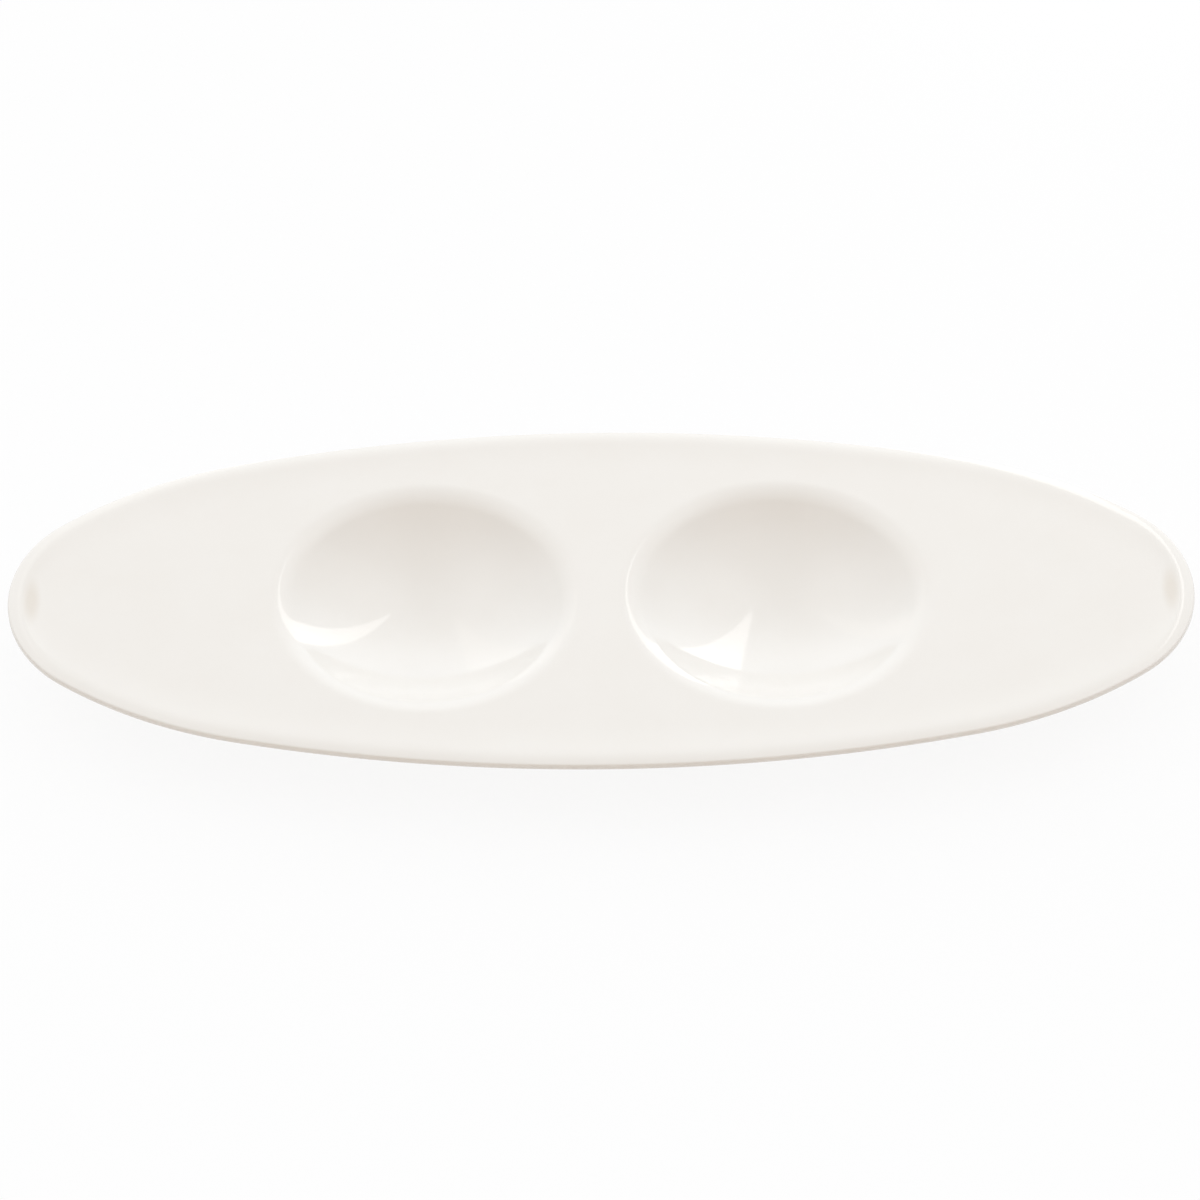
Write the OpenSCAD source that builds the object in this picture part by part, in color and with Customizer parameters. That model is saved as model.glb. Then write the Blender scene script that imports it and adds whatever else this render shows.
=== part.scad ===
// Deviled egg platter: a long oval porcelain dish with two round egg wells in a flat floor,
// a low raised lip all round, and a foot ring underneath. Sizes are in millimetres.
// The length runs along X, Z points up, and the origin lies on the table under the middle.

/* [Outline] */
// Overall length
platter_l = 270; // [240:1:330]
// Overall width
platter_w = 105; // [95:1:130]
// Radius at the tips of the rim's oval, as a share of half its width
rim_tip_share = 0.59; // [0.5:0.01:0.7]

/* [Lip and floor] */
// Height of the lip above the floor
lip_h = 0.4; // [0.3:0.1:0.8]
// Rounding of the outer edge
lip_edge_r = 1.3; // [1:0.1:1.8]
// Width of the lip's crown between its outer and inner rounding
lip_crown_w = 1.6; // [0.5:0.1:3]
// Rounding of the lip's inner edge
lip_roll_r = 2; // [1:0.1:4]
// Cove between the lip and the floor
lip_cove_r = 12; // [8:0.5:16]
// Thickness of the floor
floor_t = 4.5; // [4:0.1:6]
// Slope at which the underside sweeps up to the edge, in degrees
edge_slope = 30; // [24:1:40]

/* [Egg wells] */
// Distance between the centres of the two wells
well_spacing = 80; // [76:1:90]
// Diameter of a well where its shoulder runs out into the floor
well_mouth_d = 72; // [60:1:76]
// Depth of a well below the floor
well_depth = 11.5; // [8:0.5:14]
// Rounding of the shoulder round a well's mouth
well_shoulder_r = 9.5; // [6:0.5:16]
// Thickness of a well's wall at its lowest point
well_wall_t = 4.5; // [4:0.1:6]

/* [Foot ring] */
// Distance from the rim's edge in to the foot ring
foot_inset = 20; // [18:0.5:23]
// Radius at the tips of the foot's oval, as a share of half its width
foot_tip_share = 0.45; // [0.42:0.01:0.55]
// Thickness of the foot ring where it stands on the table
foot_t = 4.5; // [3:0.1:5.5]
// Slope of the foot ring's two sides, in degrees from upright
foot_draft = 10; // [5:1:14]
// Rounding of the foot ring's two standing edges
foot_edge_r = 0.8; // [0.5:0.1:1.2]
// Cove between the foot ring and the underside outside it
foot_cove_r = 6; // [3:0.5:7]
// Cove between the foot ring and the underside inside it, and round the wells' undersides
recess_cove_r = 2.5; // [1.5:0.1:3]
// Gap between the table and the undersides of the wells
table_gap = 2; // [1.5:0.1:4]

/* [Glaze] */
// Thickness of the glaze
glaze_t = 0.35; // [0.2:0.01:0.45]
// Height of the band above the table that is wiped free of glaze
dry_h = 1; // [0.9:0.05:1.3]

/* [Hidden] */

// Most degrees that one facet of a rounding turns through, and of a core's edge
arc_step = 6;
core_step = 3;
$fa = 3;
$fs = 0.5;
// Length by which cuts pass the faces that they open
overrun = 2;
// Width by which a solid core laps into the ring round it
core_lap = 0.6;
// Degrees by which each arc of an oval runs on into the next, so that the two join
arc_lap = 0.00001;
// Grain to which an arc's place is set before the rest of it is added
place_grain = 0.001;
// Points on an ellipse, in degrees of its parameter, where the arcs of an oval meet
oval_join_1 = 27.4;
oval_join_2 = 60;

// Heights of the wells' lowest points, the floor, its underside and the lip's top
well_z = table_gap + well_wall_t;
floor_z = well_z + well_depth;
under_z = floor_z - floor_t;
lip_z = floor_z + lip_h;

// The lip: how steep its inner side gets, and where its inner and lower corners lie
lip_slope = ogee_slope(lip_h, lip_roll_r + lip_cove_r);
lip_corner_x = lip_edge_r + lip_crown_w + lip_roll_r * tan(lip_slope / 2);
lip_foot_x = lip_corner_x + lip_h / tan(lip_slope);
lip_end_x = lip_foot_x + lip_cove_r * tan(lip_slope / 2);
edge_round_l = lip_edge_r * tan((90 - edge_slope) / 2);
edge_z = lip_z - lip_edge_r - edge_round_l;
sweep_x = (edge_z - under_z) / tan(edge_slope);
sweep_l = (edge_z - under_z) / sin(edge_slope) - edge_round_l;
sweep_r = sweep_l / tan(edge_slope / 2);
lip_band_w = max(lip_end_x, sweep_x + sweep_l) + 2 * core_lap;

// The wells: steepest slope of the wall, and radius of the bowl
well_mouth_r = well_mouth_d / 2;
well_slope = 2 * atan(well_depth / well_mouth_r);
well_bowl_r = well_mouth_r / sin(well_slope) - well_shoulder_r;

// The undersides of the wells
bulge_r = well_bowl_r + well_wall_t;
bulge_slope = ogee_slope(under_z - table_gap, bulge_r + recess_cove_r);
bulge_run = (bulge_r + recess_cove_r) * sin(bulge_slope);

// The foot ring: how far its sides lean over its height, and how far its roundings reach
foot_lean = under_z * tan(foot_draft);
foot_cove_l = foot_cove_r * tan((90 - foot_draft) / 2);
foot_edge_l = foot_edge_r * tan((90 - foot_draft) / 2);
recess_cove_l = recess_cove_r * tan((90 - foot_draft) / 2);
recess_band_w = foot_t + foot_lean + recess_cove_l + 2 * core_lap;

rim_oval = oval(platter_l / 2, platter_w / 2, rim_tip_share);
foot_oval = oval(platter_l / 2 - foot_inset, platter_w / 2 - foot_inset, foot_tip_share);

// Steepest slope of an ogee, two arcs that meet in an S, from its rise and its two radii's sum
function ogee_slope(rise, radii) = acos(1 - rise / radii);

// The eight arcs of an oval as [centre, radius, first angle, sweep]. An end arc, a haunch arc and a
// side arc meet in each quarter, at the whole degrees nearest to the normals of an ellipse.
function oval(half_l, half_w, tip_share) =
    let (
        a1 = round(atan2(half_l * sin(oval_join_1), half_w * cos(oval_join_1))),
        a2 = round(atan2(half_l * sin(oval_join_2), half_w * cos(oval_join_2))),
        tip_r = tip_share * half_w,
        reach = half_l - tip_r,
        rise = half_w - tip_r,
        step_1 = (rise * cos(a2) - reach * (1 - sin(a2)))
            / (cos(a2) * (1 - sin(a1)) - cos(a1) * (1 - sin(a2))),
        step_2 = (reach - step_1 * cos(a1)) / cos(a2),
        haunch_r = tip_r + step_1,
        side_r = haunch_r + step_2,
        haunch = [reach - step_1 * cos(a1), -step_1 * sin(a1)],
        side_y = half_w - side_r
    )
    [
        [[reach, 0], tip_r, -a1, 2 * a1],
        [haunch, haunch_r, a1, a2 - a1],
        [[0, side_y], side_r, a2, 180 - 2 * a2],
        [[-haunch[0], haunch[1]], haunch_r, 180 - a2, a2 - a1],
        [[-reach, 0], tip_r, 180 - a1, 2 * a1],
        [-haunch, haunch_r, 180 + a1, a2 - a1],
        [[0, -side_y], side_r, 180 + a2, 180 - 2 * a2],
        [[haunch[0], -haunch[1]], haunch_r, 360 - a2, a2 - a1]
    ];

// Points along an oval, moved in by an inset
function oval_points(arcs, inset) = [
    for (arc = arcs)
        let (steps = ceil(arc[3] / core_step))
            for (i = [0 : steps - 1])
                let (a = arc[2] + arc[3] * i / steps)
                    arc[0] + (arc[1] - inset) * [cos(a), sin(a)]
];

// A section's outline from its corners, counter-clockwise. Each corner is [x, y, rounding, faced]:
// faced is 1 where the side that follows it is a glazed face. Faces move in by the skin.
function rounded(corners, skin) =
    let (
        n = len(corners),
        p = [for (c = corners) [c[0], c[1]]],
        along = [for (i = [0 : n - 1]) unit(p[(i + 1) % n] - p[i])],
        start = [for (i = [0 : n - 1]) p[i] + skin * corners[i][3] * left(along[i])],
        corner = [
            for (i = [0 : n - 1])
                let (before = (i + n - 1) % n)
                    meet(start[before], along[before], start[i], along[i])
        ]
    )
    [
        for (i = [0 : n - 1])
            let (
                from = along[(i + n - 1) % n],
                turn = atan2(cross(from, along[i]), from * along[i]),
                side = sign(turn),
                r = corners[i][2] == 0 ? 0 : corners[i][2] - side * skin,
                first = corner[i] - from * r * tan(abs(turn) / 2),
                centre = first + side * r * left(from),
                steps = r == 0 ? 0 : ceil(abs(turn) / arc_step)
            )
                for (k = [0 : steps])
                    steps == 0 ? corner[i] : centre + turned(first - centre, turn * k / steps)
    ];

function unit(v) = v / norm(v);
function left(v) = [-v[1], v[0]];
function turned(v, a) = [v[0] * cos(a) - v[1] * sin(a), v[0] * sin(a) + v[1] * cos(a)];
function meet(p, d, q, e) = p + d * cross(q - p, e) / cross(d, e);

// Carries a section round an oval. The section's x is 0 on the oval and grows outward.
module sweep_oval(arcs) {
    for (arc = arcs)
        place(arc[0])
            rotate_extrude(angle = arc[3] + arc_lap, start = arc[2])
                place([arc[1], 0])
                    children();
}

// Moves in two steps, one coarse and one fine, so that neighbouring arcs meet face to face
module place(move) {
    coarse = [for (x = move) place_grain * round(x / place_grain)];
    translate(coarse)
        translate(move - coarse)
            children();
}

// Fills the middle of an oval ring between two heights
module oval_core(arcs, inset, z_low, z_high) {
    translate([0, 0, z_low])
        linear_extrude(z_high - z_low)
            polygon(oval_points(arcs, inset));
}

module each_well() {
    for (side = [-1, 1])
        translate([side * well_spacing / 2, 0, 0])
            children();
}

// Section of the rim: underside swept up to the edge, bullnose edge, lip, and cove down to the floor
module lip_section(skin) {
    polygon(rounded([
        [-lip_band_w, under_z, 0, 1],
        [-sweep_x, under_z, sweep_r, 1],
        [0, edge_z, lip_edge_r, 1],
        [0, lip_z, lip_edge_r, 1],
        [-lip_corner_x, lip_z, lip_roll_r, 1],
        [-lip_foot_x, floor_z, lip_cove_r, 1],
        [-lip_band_w, floor_z, 0, 0]
    ], skin));
}

// Section of the foot's outer side, from the bare standing face up into the floor
module foot_section(skin) {
    polygon(rounded([
        [-foot_t, 0, 0, 0],
        [0, 0, foot_edge_r, 1],
        [foot_lean, under_z, foot_cove_r, 1],
        [foot_lean + foot_cove_l, under_z, 0, 0],
        [foot_lean + foot_cove_l, under_z + floor_t / 2, 0, 0],
        [-foot_t, under_z + floor_t / 2, 0, 0]
    ], skin));
}

// Section of the hollow along the foot's inner side
module recess_section(skin) {
    polygon(rounded([
        [-recess_band_w, -overrun, 0, 0],
        [foot_edge_l - foot_t, -overrun, 0, 0],
        [foot_edge_l - foot_t, 0, 0, 0],
        [-foot_t, 0, foot_edge_r, 1],
        [-foot_t - foot_lean, under_z, recess_cove_r, 1],
        [-recess_band_w, under_z, 0, 0]
    ], -skin));
}

// One well's hollow, from its bowl up through the floor
module well_hollow(skin) {
    rotate_extrude()
        polygon(rounded([
            [0, well_z, 0, 1],
            [well_bowl_r * tan(well_slope / 2), well_z, well_bowl_r, 1],
            [well_mouth_r - well_shoulder_r * tan(well_slope / 2), floor_z, well_shoulder_r, 1],
            [well_mouth_r, floor_z, 0, 0],
            [well_mouth_r, lip_z + overrun, 0, 0],
            [0, lip_z + overrun, 0, 0]
        ], -skin));
}

// One well's underside, hanging into the hollow inside the foot
module well_bulge(skin) {
    rotate_extrude()
        polygon(rounded([
            [0, table_gap, 0, 1],
            [bulge_r * tan(bulge_slope / 2), table_gap, bulge_r, 1],
            [bulge_run - recess_cove_r * tan(bulge_slope / 2), under_z, recess_cove_r, 1],
            [bulge_run, under_z, 0, 0],
            [bulge_run, floor_z, 0, 0],
            [0, floor_z, 0, 0]
        ], skin));
}

// The dish with the hollow inside its foot filled
module dish(skin) {
    difference() {
        union() {
            sweep_oval(rim_oval) lip_section(skin);
            oval_core(rim_oval, lip_band_w - core_lap, under_z + skin, floor_z - skin);
            sweep_oval(foot_oval) foot_section(skin);
            oval_core(foot_oval, foot_t - core_lap, 0, under_z + floor_t / 2);
        }
        each_well() well_hollow(skin);
    }
}

// The hollow inside the foot, with the undersides of the wells left standing in it
module foot_hollow(skin) {
    difference() {
        union() {
            sweep_oval(foot_oval) recess_section(skin);
            oval_core(foot_oval, recess_band_w - core_lap, -overrun, under_z + skin);
        }
        each_well() well_bulge(skin);
    }
}

// Keeps what lies above the line where the glaze is wiped off
module above_dry_line() {
    intersection() {
        children();
        translate([-platter_l, -platter_w, dry_h])
            cube([2 * platter_l, 2 * platter_w, lip_z]);
    }
}

// Fired porcelain, bare only where it stands
module porcelain_body() {
    color("#efe9dd")
        difference() {
            dish(glaze_t);
            foot_hollow(glaze_t);
        }
}

// Clear glaze over the top, the lip, the underside of the rim and the foot's outer side
module outer_glaze() {
    color("#f3f0ea")
        difference() {
            above_dry_line() dish(0);
            dish(glaze_t);
        }
}

// Clear glaze inside the foot ring
module recess_glaze() {
    color("#f3f0ea")
        difference() {
            above_dry_line() foot_hollow(glaze_t);
            foot_hollow(0);
        }
}

porcelain_body();
outer_glaze();
recess_glaze();
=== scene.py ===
"""The deviled egg platter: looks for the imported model. Lengths are in millimetres until placed."""
import math

import bmesh
import bpy
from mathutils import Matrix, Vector


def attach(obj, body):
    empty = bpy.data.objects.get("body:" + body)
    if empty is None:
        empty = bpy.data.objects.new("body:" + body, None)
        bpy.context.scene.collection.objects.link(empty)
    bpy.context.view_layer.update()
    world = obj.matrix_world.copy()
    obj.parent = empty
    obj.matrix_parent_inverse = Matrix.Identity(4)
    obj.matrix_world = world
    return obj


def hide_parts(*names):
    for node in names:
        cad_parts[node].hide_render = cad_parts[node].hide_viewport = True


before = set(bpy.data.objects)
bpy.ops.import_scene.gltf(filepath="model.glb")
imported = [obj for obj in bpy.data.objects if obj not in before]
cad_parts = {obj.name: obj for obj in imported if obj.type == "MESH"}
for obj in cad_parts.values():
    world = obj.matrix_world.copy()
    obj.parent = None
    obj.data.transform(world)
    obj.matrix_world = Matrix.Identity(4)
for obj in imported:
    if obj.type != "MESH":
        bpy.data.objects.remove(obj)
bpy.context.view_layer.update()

MM = 0.001
WELD = 0.002

# Sizes of the platter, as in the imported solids
PLATTER_L = 270.0
PLATTER_W = 105.0
RIM_TIP_SHARE = 0.59
LIP_H = 0.4
LIP_EDGE_R = 1.3
FLOOR_T = 4.5
EDGE_SLOPE = 30.0
WELL_SPACING = 80.0
WELL_MOUTH_R = 36.0
WELL_DEPTH = 11.5
WELL_SHOULDER_R = 9.5
WELL_WALL_T = 4.5
FOOT_INSET = 20.0
FOOT_TIP_SHARE = 0.45
FOOT_T = 4.5
FOOT_DRAFT = 10.0
FOOT_COVE_R = 6.0
RECESS_COVE_R = 2.5
TABLE_GAP = 2.0
GLAZE_T = 0.35
DRY_H = 1.0
OVAL_JOINS = (27.4, 60.0)

HALF_L = PLATTER_L / 2
HALF_W = PLATTER_W / 2
FOOT_TIP = HALF_L - FOOT_INSET
WELL_Z = TABLE_GAP + WELL_WALL_T
FLOOR_Z = WELL_Z + WELL_DEPTH
UNDER_Z = FLOOR_Z - FLOOR_T
LIP_Z = FLOOR_Z + LIP_H

# The lip as the glaze shows it: its width at the ends, its height and width along the sides,
# how far in from the edge it may reach, and where along the length it rises to its full height
LIP_END_W = 3.3
LIP_SIDE_H = 0.22
LIP_SIDE_W = 8.5
LIP_REACH = 12.0
LIP_FADE_X = (120.0, 132.0)
# The crown: how far in from the edge its top lies, how many degrees it falls outward,
# and the edge's tight upper rounding
CROWN_INSET = 3.0
CROWN_FALL = 13.0
CROWN_EDGE_R = 0.6
# Share of the lip's S that its upper arc takes, and steps to one rounding of the rim
ROLL_SHARE = 0.2
RIM_STEPS = 6

# Flat margin beside a rounding, which keeps the flats flat in the shading
MARGIN = 0.4
# Step by which the wells' undersides start below the flat underside, too small to see
BULGE_STEP = 0.01
# Degrees to one step of a rounding, of a tight end and of a long side, and steps round a well
ROUND_STEP = 4.0
TIP_STEP = 1.5
SIDE_STEP = 0.8
WELL_STEPS = 144
# Angle from which an edge is shaded sharp
SHARP_ANGLE = math.radians(35)

# The glaze: its colour in lighter and deeper blotches, and how rough its shine is in each
IVORY = "#f4f1eb"
IVORY_DEEP = "#f1ede6"
GLOSS_ROUGHNESS = (0.05, 0.08)
PORCELAIN_IOR = 1.5
# Sizes of the blotches, the slow waves and the fine orange peel, and how deep the last two are
MOTTLE_SIZE = 14.0
WAVE_SIZE, WAVE_DEPTH = 28.0, 0.05
PEEL_SIZE, PEEL_DEPTH = 1.6, 0.001
# Painted shade inside the lip at each end: where it lies, how far it reaches, the share of that
# which is evenly deep, its colour, and how much of that colour shows
PAINTED_SHADE_AT = (129.6, 0.0, LIP_Z)
PAINTED_SHADE_REACH = (2.6, 9.0, 4.0)
PAINTED_SHADE_CORE = 0.2
PAINTED_SHADE_COLOUR = "#e8e1d6"
PAINTED_SHADE_SHARE = 0.8

# The bare foot: its colour clean and rubbed, and the sizes of the rubbing and the grit
BARE = "#e3dbcd"
BARE_RUBBED = "#d6ccbb"
BARE_ROUGHNESS = 0.8
RUB_SIZE = 9.0
GRIT_SIZE, GRIT_DEPTH = 0.35, 0.02

# The paper floor: its colour, its reach, and the share of plain white it shows to the eye
PAPER = "#f4f4f4"
PAPER_REACH = 10000.0
PAPER_WHITE = 0.9
# The right light card's corners, mirrored for the left one, and each card's side and strength
WINDOW_CORNERS = [(80, 277, 0), (155, 277, 0), (440, 1100, 1620), (400, 1100, 1620)]
WINDOWS = [(1, 3.0), (-1, 1.6)]
# Each soft light as its turn from +X, its rise, how far it spreads, all in degrees, its strength
# and its colour
DAYLIGHT = "#f8fbff"
WARM_LIGHT = "#ffe2c4"
SOFT_LIGHTS = [
    (0, 90, 48, 0.70, DAYLIGHT),
    (0, 46, 54, 0.75, DAYLIGHT),
    (180, 46, 54, 0.70, DAYLIGHT),
    (45, 30, 50, 0.82, DAYLIGHT),
    (135, 30, 50, 0.82, DAYLIGHT),
    (90, 4, 60, 0.85, DAYLIGHT),
    (270, 40, 60, 0.15, WARM_LIGHT),
    (270, 5, 60, 0.60, WARM_LIGHT),
]

# The camera: its rise and its turn off square in degrees, its distance, how far it sees and its
# sensor's width
CAMERA_RISE = 46.3
CAMERA_TURN = 0.85
CAMERA_FAR = 2000
CAMERA_SIGHT = 100000
SENSOR_W = 36
# The photograph's width and scale, the height aimed at, and how far left and up the aim is moved
PHOTO_PX = 1200
PX_PER_MM = 4.384
AIM_Z = 10
AIM_LEFT_PX = 1.5
AIM_UP_PX = 19.5


def steps_for(degrees, step):
    return max(2, math.ceil(abs(degrees) / step))


def ogee(rise, run):
    """Two arcs that meet in an S: their steepest slope in degrees and the sum of their radii."""
    slope = math.degrees(2 * math.atan(rise / run))
    return slope, run / math.sin(math.radians(slope))


def oval(half_l, half_w, tip_share):
    """An oval's arcs from the middle of its right end, anticlockwise, as (x, y, degrees, step)."""
    joins = [math.radians(j) for j in OVAL_JOINS]
    slants = [math.atan2(half_l * math.sin(j), half_w * math.cos(j)) for j in joins]
    a1, a2 = (round(math.degrees(slant)) for slant in slants)
    c1, s1 = math.cos(math.radians(a1)), math.sin(math.radians(a1))
    c2, s2 = math.cos(math.radians(a2)), math.sin(math.radians(a2))
    tip_r = tip_share * half_w
    reach, rise = half_l - tip_r, half_w - tip_r
    step_1 = (rise * c2 - reach * (1 - s2)) / (c2 * (1 - s1) - c1 * (1 - s2))
    step_2 = (reach - step_1 * c1) / c2
    haunch_x, haunch_y = reach - step_1 * c1, -step_1 * s1
    side_y = half_w - tip_r - step_1 - step_2
    quarter, middle = a2 - a1, 180 - 2 * a2
    return [
        (reach, 0, a1, TIP_STEP),
        (haunch_x, haunch_y, quarter, SIDE_STEP),
        (0, side_y, middle, SIDE_STEP),
        (-haunch_x, haunch_y, quarter, SIDE_STEP),
        (-reach, 0, 2 * a1, TIP_STEP),
        (-haunch_x, -haunch_y, quarter, SIDE_STEP),
        (0, -side_y, middle, SIDE_STEP),
        (haunch_x, -haunch_y, quarter, SIDE_STEP),
        (reach, 0, a1, TIP_STEP),
    ]


RIM_OVAL = oval(HALF_L, HALF_W, RIM_TIP_SHARE)
FOOT_OVAL = oval(FOOT_TIP, HALF_W - FOOT_INSET, FOOT_TIP_SHARE)
WELL_SLOPE, WELL_RADII = ogee(WELL_DEPTH, WELL_MOUTH_R)
BOWL_R = WELL_RADII - WELL_SHOULDER_R


# Sections are drawn in the XZ plane, run by run

def start_at(bm, x, z):
    return bm.verts.new(Vector((x, 0, z)) * MM)


def line_to(bm, vert, x, z):
    new = bmesh.ops.extrude_vert_indiv(bm, verts=[vert])["verts"][0]
    new.co = Vector((x, 0, z)) * MM
    return new


def arc_from(bm, vert, centre, turn, steps=None):
    """Rounds on from a vertex about a centre (x, z), anticlockwise for a positive turn."""
    last = bmesh.ops.spin(
        bm, geom=[vert], cent=Vector((centre[0], 0, centre[1])) * MM, axis=(0, -1, 0),
        angle=math.radians(turn), steps=steps or steps_for(turn, ROUND_STEP),
    )["geom_last"]
    return [g for g in last if isinstance(g, bmesh.types.BMVert)][0]


def carry_round(bm, arcs):
    """Carries a drawn section round an oval."""
    geom = list(bm.verts) + list(bm.edges)
    for x, y, degrees, step in arcs:
        geom = bmesh.ops.spin(
            bm, geom=geom, cent=Vector((x, y, 0)) * MM, axis=(0, 0, 1),
            angle=math.radians(degrees), steps=steps_for(degrees, step),
        )["geom_last"]


def weld(bm):
    bmesh.ops.remove_doubles(bm, verts=bm.verts, dist=WELD * MM)


def turn_round(bm, x):
    """Turns a drawn section all the way round an upright axis and closes its poles."""
    bmesh.ops.spin(
        bm, geom=list(bm.verts) + list(bm.edges), cent=Vector((x, 0, 0)) * MM, axis=(0, 0, 1),
        angle=2 * math.pi, steps=WELL_STEPS, use_merge=True,
    )
    weld(bm)


def joined(parts):
    """One mesh from several."""
    whole = bmesh.new()
    for part in parts:
        mesh = bpy.data.meshes.new("part")
        part.to_mesh(mesh)
        part.free()
        whole.from_mesh(mesh)
        bpy.data.meshes.remove(mesh)
    return whole


def lies_at(element, z):
    """Whether an edge or a face lies level at a height."""
    return all(abs(v.co.z - z * MM) < WELD * MM for v in element.verts)


def fill_flat(bm, z):
    """Closes the flat between the open loops at a height."""
    loops = [e for e in bm.edges if e.is_boundary and lies_at(e, z)]
    bmesh.ops.triangle_fill(bm, edges=loops, use_beauty=True)


def rim_section(lip_h, lip_w):
    """Draws the rim from the floor over a lip of this height and width to the flat underside."""
    crown_x, crown_z = HALF_L - CROWN_INSET, FLOOR_Z + lip_h
    # The lip rises from the floor in an S whose upper arc takes a set share of it
    slope, radii = ogee(lip_h, lip_w)
    roll_r, cove_r = radii * ROLL_SHARE, radii * (1 - ROLL_SHARE)
    # The crown falls away outward and runs into the edge's upper rounding
    fall = math.radians(CROWN_FALL)
    crown_r = (CROWN_INSET - CROWN_EDGE_R) / math.sin(fall) + CROWN_EDGE_R
    edge_z = crown_z - crown_r + (crown_r - CROWN_EDGE_R) * math.cos(fall)
    # The edge's lower rounding and the sweep to the flat underside are as in the solids
    low_c, low_cz = HALF_L - LIP_EDGE_R, LIP_Z - LIP_EDGE_R
    low = math.radians(90 - EDGE_SLOPE)
    low_x, low_z = low_c + LIP_EDGE_R * math.cos(low), low_cz - LIP_EDGE_R * math.sin(low)
    sweep = math.radians(EDGE_SLOPE)
    sweep_r = (low_z - UNDER_Z) / (1 - math.cos(sweep))
    sweep_x = low_x - sweep_r * math.sin(sweep)
    bm = bmesh.new()
    v = start_at(bm, HALF_L - LIP_REACH - MARGIN, FLOOR_Z)
    v = line_to(bm, v, HALF_L - LIP_REACH, FLOOR_Z)
    v = line_to(bm, v, crown_x - lip_w, FLOOR_Z)
    v = arc_from(bm, v, (crown_x - lip_w, FLOOR_Z + cove_r), slope, RIM_STEPS)
    v = arc_from(bm, v, (crown_x, crown_z - roll_r), -slope, RIM_STEPS)
    v = arc_from(bm, v, (crown_x, crown_z - crown_r), -CROWN_FALL, RIM_STEPS)
    v = arc_from(bm, v, (HALF_L - CROWN_EDGE_R, edge_z), CROWN_FALL - 90, 2 * RIM_STEPS)
    v = line_to(bm, v, HALF_L, low_cz)
    v = arc_from(bm, v, (low_c, low_cz), EDGE_SLOPE - 90, 2 * RIM_STEPS)
    v = arc_from(bm, v, (sweep_x, UNDER_Z + sweep_r), -EDGE_SLOPE, RIM_STEPS)
    line_to(bm, v, sweep_x - MARGIN, UNDER_Z)
    return bm


def rim_band():
    """The rim all round: a lip that stands up at the two ends and dies away along the sides."""
    ends, sides = rim_section(LIP_H, LIP_END_W), rim_section(LIP_SIDE_H, LIP_SIDE_W)
    for bm in (ends, sides):
        carry_round(bm, RIM_OVAL)
    # Both have the same points in the same order until they are welded
    fade_from, fade_to = LIP_FADE_X
    for side, end in zip(sides.verts, ends.verts):
        share = (abs(end.co.x) / MM - fade_from) / (fade_to - fade_from)
        share = min(1, max(0, share))
        side.co = side.co.lerp(end.co, share * share * (3 - 2 * share))
    ends.free()
    weld(sides)
    return sides


def foot_side(tip, cove_r, out):
    """A side of the foot ring from the underside to the dry line: outer for 1, inner for -1."""
    lean = math.tan(math.radians(FOOT_DRAFT))
    turn = 90 - FOOT_DRAFT
    cove_l = cove_r * math.tan(math.radians(turn / 2))
    cove_x = tip + out * UNDER_Z * lean + out * cove_l
    bm = bmesh.new()
    v = start_at(bm, cove_x + out * MARGIN, UNDER_Z)
    v = line_to(bm, v, cove_x, UNDER_Z)
    v = arc_from(bm, v, (cove_x, UNDER_Z - cove_r), out * turn)
    line_to(bm, v, tip + out * DRY_H * lean, DRY_H)
    carry_round(bm, FOOT_OVAL)
    weld(bm)
    return bm


def foot_fill():
    """The hollow inside the foot ring as a solid, from the dry line up to the floor's underside."""
    bm = foot_side(FOOT_TIP - FOOT_T, RECESS_COVE_R, -1)
    fill_flat(bm, UNDER_Z)
    fill_flat(bm, DRY_H)
    bmesh.ops.recalc_face_normals(bm, faces=bm.faces)
    return bm


def well_bowl(side):
    """One egg well, from the flat floor over its shoulder down to its lowest point."""
    x = side * WELL_SPACING / 2
    mouth_x = x + WELL_MOUTH_R
    bm = bmesh.new()
    v = start_at(bm, mouth_x + MARGIN, FLOOR_Z)
    v = line_to(bm, v, mouth_x, FLOOR_Z)
    v = arc_from(bm, v, (mouth_x, FLOOR_Z - WELL_SHOULDER_R), WELL_SLOPE)
    arc_from(bm, v, (x, WELL_Z + BOWL_R), -WELL_SLOPE)
    turn_round(bm, x)
    return bm


def well_bulge(side):
    """One well's underside as a solid that hangs into the foot's hollow from just over its top."""
    x = side * WELL_SPACING / 2
    bulge_r = BOWL_R + WELL_WALL_T
    radii = bulge_r + RECESS_COVE_R
    slope = math.degrees(math.acos(1 - (UNDER_Z - TABLE_GAP) / radii))
    root_x = x + radii * math.sin(math.radians(slope))
    bm = bmesh.new()
    v = start_at(bm, x, UNDER_Z + MARGIN)
    v = line_to(bm, v, root_x, UNDER_Z + MARGIN)
    v = line_to(bm, v, root_x, UNDER_Z - BULGE_STEP)
    v = arc_from(bm, v, (root_x, UNDER_Z - BULGE_STEP - RECESS_COVE_R), slope)
    arc_from(bm, v, (x, TABLE_GAP + bulge_r - BULGE_STEP), -slope)
    turn_round(bm, x)
    bmesh.ops.recalc_face_normals(bm, faces=bm.faces)
    return bm


def new_object(name, bm, material):
    """Puts a drawn mesh into the scene."""
    mesh = bpy.data.meshes.new(name)
    bm.to_mesh(mesh)
    bm.free()
    mesh.materials.append(material)
    thing = bpy.data.objects.new(name, mesh)
    bpy.context.scene.collection.objects.link(thing)
    return thing


def new_piece(name, bm, material):
    piece = new_object(name, bm, material)
    piece.data.set_sharp_from_angle(angle=SHARP_ANGLE)
    return piece


def thicken(bm, thickness):
    """Gives a skin its thickness, away from its outward side, and smooths it."""
    bmesh.ops.solidify(bm, geom=list(bm.faces), thickness=thickness * MM)
    for face in bm.faces:
        face.smooth = True


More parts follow.
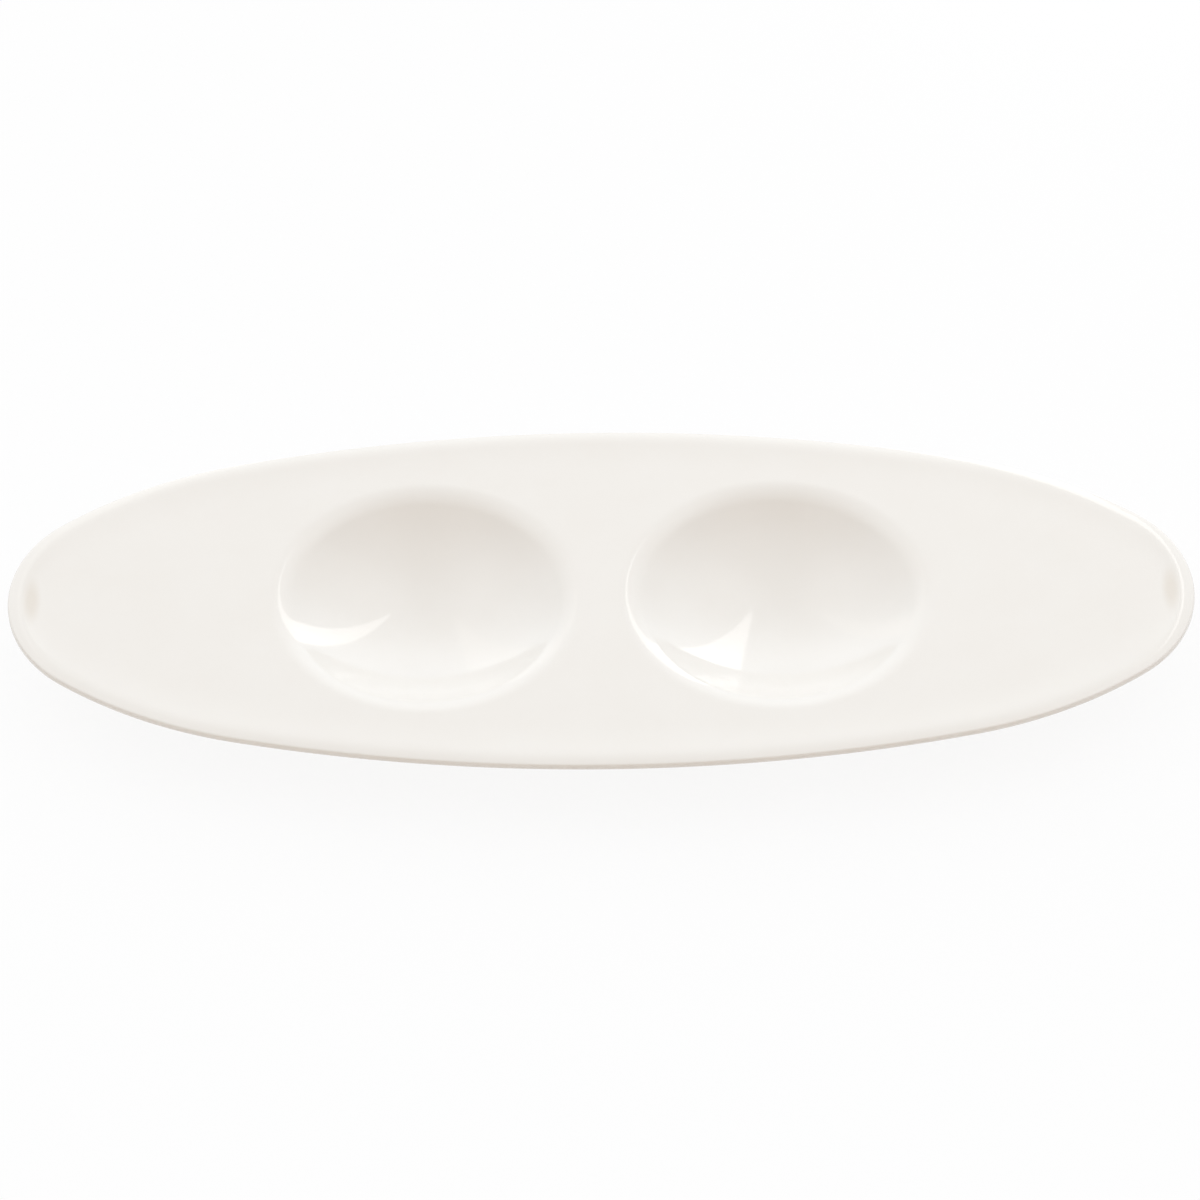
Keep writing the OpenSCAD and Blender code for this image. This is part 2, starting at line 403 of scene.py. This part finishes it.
def linear(hex_colour):
    """An sRGB hex colour as linear RGBA."""
    parts = [int(hex_colour[i:i + 2], 16) / 255 for i in (1, 3, 5)]
    return [c / 12.92 if c <= 0.04045 else ((c + 0.055) / 1.055) ** 2.4 for c in parts] + [1.0]


# Shader nodes, each with its settings, its values and its links from other sockets

def add(nodes, kind, settings=None, **inputs):
    """Adds a node; an input is named with _ for each space, or by its number after one _."""
    node = nodes.new(kind)
    for name, value in (settings or {}).items():
        setattr(node, name, value)
    for name, value in inputs.items():
        numbered = name[0] == "_" and name[1:].isdigit()
        socket = node.inputs[int(name[1:]) if numbered else name.replace("_", " ")]
        if isinstance(value, bpy.types.NodeSocket):
            nodes.id_data.links.new(value, socket)
        else:
            socket.default_value = value
    return node


def calc(n, kind, operation, *values):
    """The outputs of a sum on numbers, for kind Math, or on vectors, for kind VectorMath."""
    inputs = {f"_{i}": value for i, value in enumerate(values)}
    return add(n, "ShaderNode" + kind, {"operation": operation}, **inputs).outputs


def fade(n, value, start, end, at_start, at_end):
    """Eases from one amount to another while a value goes from its start to its end."""
    return add(
        n, "ShaderNodeMapRange", {"interpolation_type": "SMOOTHSTEP"}, Value=value,
        From_Min=start, From_Max=end, To_Min=at_start, To_Max=at_end,
    ).outputs["Result"]


def blend(n, share, first, second):
    """Mixes two colours."""
    mix = add(n, "ShaderNodeMix", {"data_type": "RGBA"}, Factor=share, _6=first, _7=second)
    return mix.outputs[2]


def cloud(n, place, size, detail, roughness=0.5):
    """A cloudy pattern of some size."""
    return add(
        n, "ShaderNodeTexNoise", Vector=place, Scale=1 / (size * MM), Detail=detail,
        Roughness=roughness,
    ).outputs["Fac"]


def raised(n, pattern, depth, **below):
    """A surface raised by a pattern, over another layer where its Normal is given."""
    bump = add(n, "ShaderNodeBump", Height=pattern, Strength=1.0, Distance=depth * MM, **below)
    return bump.outputs["Normal"]


def blank_material(name):
    material = bpy.data.materials.new(name)
    material.use_nodes = True
    material.node_tree.nodes.clear()
    return material, material.node_tree.nodes


def fire(n, colour, roughness, normal):
    """Ends a porcelain material with its surface."""
    surface = add(
        n, "ShaderNodeBsdfPrincipled", Base_Color=colour, Roughness=roughness, IOR=PORCELAIN_IOR,
        Normal=normal,
    )
    add(n, "ShaderNodeOutputMaterial", Surface=surface.outputs["BSDF"])


def glazed_porcelain():
    """Ivory feldspathic glaze, glossy over warm white, gently wavy, faintly mottled, with painted
    shade at the ends.
    """
    material, n = blank_material("glazed_porcelain_gloss")
    place = add(n, "ShaderNodeTexCoord").outputs["Object"]
    mottle = cloud(n, place, MOTTLE_SIZE, detail=4.0, roughness=0.6)
    tint = blend(n, mottle, linear(IVORY), linear(IVORY_DEEP))
    # Distance from the middle of the nearer patch of painted shade, in shares of its reach
    apart = calc(n, "VectorMath", "ABSOLUTE", place)["Vector"]
    from_shade_patch = calc(n, "VectorMath", "SUBTRACT", apart, Vector(PAINTED_SHADE_AT) * MM)["Vector"]
    in_shade_patch = calc(n, "VectorMath", "DIVIDE", from_shade_patch, Vector(PAINTED_SHADE_REACH) * MM)["Vector"]
    far = calc(n, "VectorMath", "LENGTH", in_shade_patch)["Value"]
    # Painted shade: a warm, darker patch on the glaze inside the lip at each end, in place of the
    # lip's own shading there
    painted_shade = fade(n, far, PAINTED_SHADE_CORE, 1.0, PAINTED_SHADE_SHARE, 0.0)
    colour = blend(n, painted_shade, tint, linear(PAINTED_SHADE_COLOUR))
    wave = cloud(n, place, WAVE_SIZE, detail=1.5, roughness=0.4)
    peel = cloud(n, place, PEEL_SIZE, detail=1.0)
    normal = raised(n, peel, PEEL_DEPTH, Normal=raised(n, wave, WAVE_DEPTH))
    smooth, dull = GLOSS_ROUGHNESS
    roughness = add(n, "ShaderNodeMapRange", Value=mottle, To_Min=smooth, To_Max=dull)
    fire(n, colour, roughness.outputs["Result"], normal)
    return material


def bare_porcelain():
    """Unglazed fired porcelain on the foot's standing face: matt, fine-gritted, a little rubbed."""
    material, n = blank_material("bare_porcelain_matt")
    place = add(n, "ShaderNodeTexCoord").outputs["Object"]
    rub = cloud(n, place, RUB_SIZE, detail=5.0, roughness=0.65)
    grit = cloud(n, place, GRIT_SIZE, detail=2.0)
    colour = blend(n, rub, linear(BARE), linear(BARE_RUBBED))
    fire(n, colour, BARE_ROUGHNESS, raised(n, grit, GRIT_DEPTH))
    return material


def outer_glaze(material):
    """Glaze over the top, the lip, the underside of the rim and the foot's outer side."""
    foot = foot_side(FOOT_TIP, FOOT_COVE_R, 1)
    bm = joined([rim_band(), foot, well_bowl(-1), well_bowl(1)])
    fill_flat(bm, FLOOR_Z)
    fill_flat(bm, UNDER_Z)
    bmesh.ops.recalc_face_normals(bm, faces=bm.faces)
    thicken(bm, GLAZE_T)
    return new_piece("outer_glaze_skin", bm, material)


def recess_glaze(material):
    """Glaze inside the foot ring: its inner side, the flat underside and the wells' undersides."""
    hollow = new_piece("recess_glaze_skin", foot_fill(), material)
    bulges = [new_piece("well_underside", well_bulge(side), material) for side in (-1, 1)]
    for bulge in bulges:
        cut = hollow.modifiers.new("round_undersides", "BOOLEAN")
        cut.operation, cut.solver, cut.object = "DIFFERENCE", "EXACT", bulge
    bm = bmesh.new()
    bm.from_object(hollow, bpy.context.evaluated_depsgraph_get())
    hollow.modifiers.clear()
    for bulge in bulges:
        bpy.data.objects.remove(bulge)
    # The hollow's lower lid isn't glazed, and the glaze faces into the hollow
    lid = [f for f in bm.faces if lies_at(f, DRY_H)]
    bmesh.ops.delete(bm, geom=lid, context="FACES")
    weld(bm)
    bmesh.ops.reverse_faces(bm, faces=bm.faces)
    thicken(bm, GLAZE_T)
    bm.to_mesh(hollow.data)
    bm.free()
    hollow.data.set_sharp_from_angle(angle=SHARP_ANGLE)
    return hollow


glaze = glazed_porcelain()
bare = bare_porcelain()

top = outer_glaze(glaze)
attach(top, "root")
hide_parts("outer_glaze")

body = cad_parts["porcelain_body"]
for slot in body.material_slots:
    slot.material = bare

under = recess_glaze(glaze)
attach(under, "root")
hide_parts("recess_glaze")


# Floor, light and camera

def white_floor():
    """Seamless paper: white to the eye and in the glaze, with the platter's shadow kept on it."""
    material, n = blank_material("white_paper_matt")
    path = add(n, "ShaderNodeLightPath").outputs
    seen = calc(n, "Math", "MAXIMUM", path["Is Camera Ray"], path["Is Glossy Ray"])["Value"]
    seen = calc(n, "Math", "MAXIMUM", seen, path["Is Transmission Ray"])["Value"]
    share = calc(n, "Math", "MULTIPLY", seen, PAPER_WHITE)["Value"]
    paper = add(n, "ShaderNodeBsdfDiffuse", Color=linear(PAPER)).outputs["BSDF"]
    white = add(n, "ShaderNodeEmission", Strength=1.0).outputs["Emission"]
    mix = add(n, "ShaderNodeMixShader", Fac=share, _1=paper, _2=white)
    add(n, "ShaderNodeOutputMaterial", Surface=mix.outputs["Shader"])
    bm = bmesh.new()
    bmesh.ops.create_grid(bm, x_segments=1, y_segments=1, size=PAPER_REACH * MM)
    floor = new_object("studio_floor", bm, material)


def tall_window(side, strength):
    """A tall tapered light card leaning back behind the platter: right for 1, left for -1."""
    material, n = blank_material("window_light")
    shine = add(n, "ShaderNodeEmission", Strength=strength)
    add(n, "ShaderNodeOutputMaterial", Surface=shine.outputs["Emission"])
    bm = bmesh.new()
    bm.faces.new([bm.verts.new(Vector((side * x, y, z)) * MM) for x, y, z in WINDOW_CORNERS])
    card = new_object("tall_window", bm, material)
    card.visible_camera = False


def studio():
    """A white tent: soft light from above, the sides and behind, less and warmer from the front."""
    world = bpy.data.worlds.new("white_studio")
    bpy.context.scene.world = world
    world.use_nodes = True
    n = world.node_tree.nodes
    n.clear()
    way = add(n, "ShaderNodeTexCoord").outputs["Generated"]
    sky = add(n, "ShaderNodeBackground", Strength=0.0).outputs["Background"]
    for turn, rise, spread, strength, colour in SOFT_LIGHTS:
        t, r = math.radians(turn), math.radians(rise)
        middle = Vector((math.cos(r) * math.cos(t), math.cos(r) * math.sin(t), math.sin(r)))
        near = calc(n, "VectorMath", "DOT_PRODUCT", way, middle)["Value"]
        glow = fade(n, near, math.cos(math.radians(spread)), 1.0, 0.0, strength)
        light = add(n, "ShaderNodeBackground", Color=linear(colour), Strength=glow)
        total = add(n, "ShaderNodeAddShader", _0=sky, _1=light.outputs["Background"])
        sky = total.outputs["Shader"]
    add(n, "ShaderNodeOutputWorld", Surface=sky)
    white_floor()
    for side, strength in WINDOWS:
        tall_window(side, strength)


def camera():
    """The photograph's view: high from the front with a long lens, turned a degree off square."""
    rise, turn = math.radians(CAMERA_RISE), math.radians(CAMERA_TURN)
    flat = math.cos(rise)
    back = Vector((-math.sin(turn) * flat, -math.cos(turn) * flat, math.sin(rise)))
    right = Vector((math.cos(turn), -math.sin(turn), 0))
    up = back.cross(right)
    aim = Vector((0, 0, AIM_Z)) - right * (AIM_LEFT_PX / PX_PER_MM) + up * (AIM_UP_PX / PX_PER_MM)
    lens = bpy.data.cameras.new("studio_camera")
    lens.sensor_width = SENSOR_W
    lens.lens = SENSOR_W * PX_PER_MM * CAMERA_FAR / PHOTO_PX
    lens.clip_end = CAMERA_SIGHT * MM
    holder = bpy.data.objects.new("studio_camera", lens)
    holder.location = (aim + back * CAMERA_FAR) * MM
    holder.rotation_euler = back.to_track_quat("Z", "Y").to_euler()
    bpy.context.scene.collection.objects.link(holder)
    bpy.context.scene.camera = holder


studio()
camera()
bpy.context.scene.view_settings.view_transform = "Standard"
